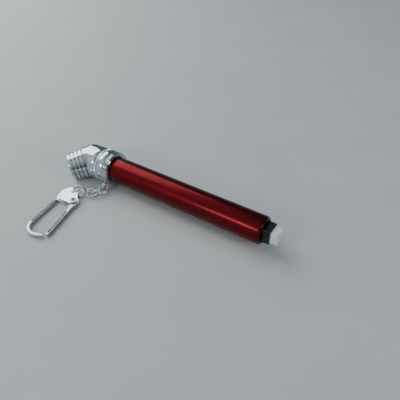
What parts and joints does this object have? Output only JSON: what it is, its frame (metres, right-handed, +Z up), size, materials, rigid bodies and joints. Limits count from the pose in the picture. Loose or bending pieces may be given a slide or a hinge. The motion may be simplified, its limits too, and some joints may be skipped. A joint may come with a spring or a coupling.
{
  "type": "tyre pressure gauge",
  "caption": "Pencil tyre pressure gauge with an angled chuck, a spring-loaded piston and indicator bar, and a short chain to a lever snap clasp.",
  "frame": {"origin": "middle of the object's box, on the plane that it lies on", "axes": "+X along the barrel from the angled chuck to the indicator bar, +Y away from the chain and clasp, +Z up"},
  "size_m": [0.0902, 0.0458, 0.0132],
  "materials": {
    "chrome": "polished",
    "anodised_red": "gloss anodised",
    "nickel": "satin nickel plate",
    "spring_steel": "drawn wire",
    "brass": "turned",
    "rubber": "matte",
    "black_plastic": "satin",
    "white_plastic": "satin"
  },
  "bodies": {
    "gauge": {"head_casting": "chrome", "valve_seal": "rubber", "depressor_pin": "brass", "knurled_ring": "chrome", "neck_collar": "chrome", "spigot_seal": "rubber", "barrel": "anodised_red", "guide_bush": "black_plastic", "calibrated_spring": "spring_steel"},
    "piston": {"piston_cup": "rubber", "piston_plate": "brass", "piston_rivet": "brass"},
    "indicator": {"indicator_bar": "white_plastic", "bar_stop": "black_plastic"},
    "swivel": {"swivel_ring": "chrome"},
    "link_1": {"chain_link_1": "chrome"},
    "link_2": {"chain_link_2": "chrome"},
    "link_3": {"chain_link_3": "chrome"},
    "link_4": {"chain_link_4": "chrome"},
    "ring": {"jump_ring": "chrome"},
    "clasp": {"clasp_frame": "nickel", "clasp_cover": "nickel", "clasp_rivet": "nickel", "clasp_spring": "spring_steel"},
    "gate": {"clasp_gate": "nickel"}
  },
  "joints": [
    {"name": "piston_slide", "type": "slide", "parent": "gauge", "child": "piston", "axis": [1, 0, 0], "range_m": [0, 0.032], "stiffness_N_per_m": 600, "deforming": ["calibrated_spring"]},
    {"name": "indicator_slide", "type": "slide", "parent": "gauge", "child": "indicator", "axis": [1, 0, 0], "range_m": [0, 0.032]},
    {"name": "ring_swivel", "type": "hinge", "parent": "gauge", "child": "swivel", "pos_m": [-0.0244, 0.01632, 0.0066], "axis": [1, 0, 0], "range_deg": [-180, 180]},
    {"name": "link_1_swing", "type": "hinge", "parent": "swivel", "child": "link_1", "pos_m": [-0.02404, 0.00911, 0.00192], "axis": [0, 0, 1], "range_deg": [-10, 24]},
    {"name": "link_2_swing", "type": "hinge", "parent": "link_1", "child": "link_2", "pos_m": [-0.02452, 0.007, 0.00166], "axis": [0, 0, -1], "range_deg": [-35, 12]},
    {"name": "link_3_swing", "type": "hinge", "parent": "link_2", "child": "link_3", "pos_m": [-0.02571, 0.00513, 0.0017], "axis": [0, 0, 1], "range_deg": [-15, 35]},
    {"name": "link_4_swing", "type": "hinge", "parent": "link_3", "child": "link_4", "pos_m": [-0.0276, 0.00399, 0.00194], "axis": [0, 0, -1], "range_deg": [-35, 20]},
    {"name": "ring_swing", "type": "hinge", "parent": "link_4", "child": "ring", "pos_m": [-0.02972, 0.00357, 0.00232], "axis": [0, 0, 1], "range_deg": [-20, 12]},
    {"name": "clasp_swing", "type": "hinge", "parent": "ring", "child": "clasp", "pos_m": [-0.03236, 0.00104, 0.00175], "axis": [0, 0, -1], "range_deg": [-20, 40]},
    {"name": "gate_swing", "type": "hinge", "parent": "clasp", "child": "gate", "pos_m": [-0.02914, -0.00248, 0.0012], "axis": [0, 0, -1], "range_deg": [0, 13], "stiffness_Nm_per_rad": 0.01, "springref_deg": -5.73}
  ],
  "couplings": [
    {"joint": "indicator_slide", "follows": "piston_slide", "ratio": 1}
  ]
}
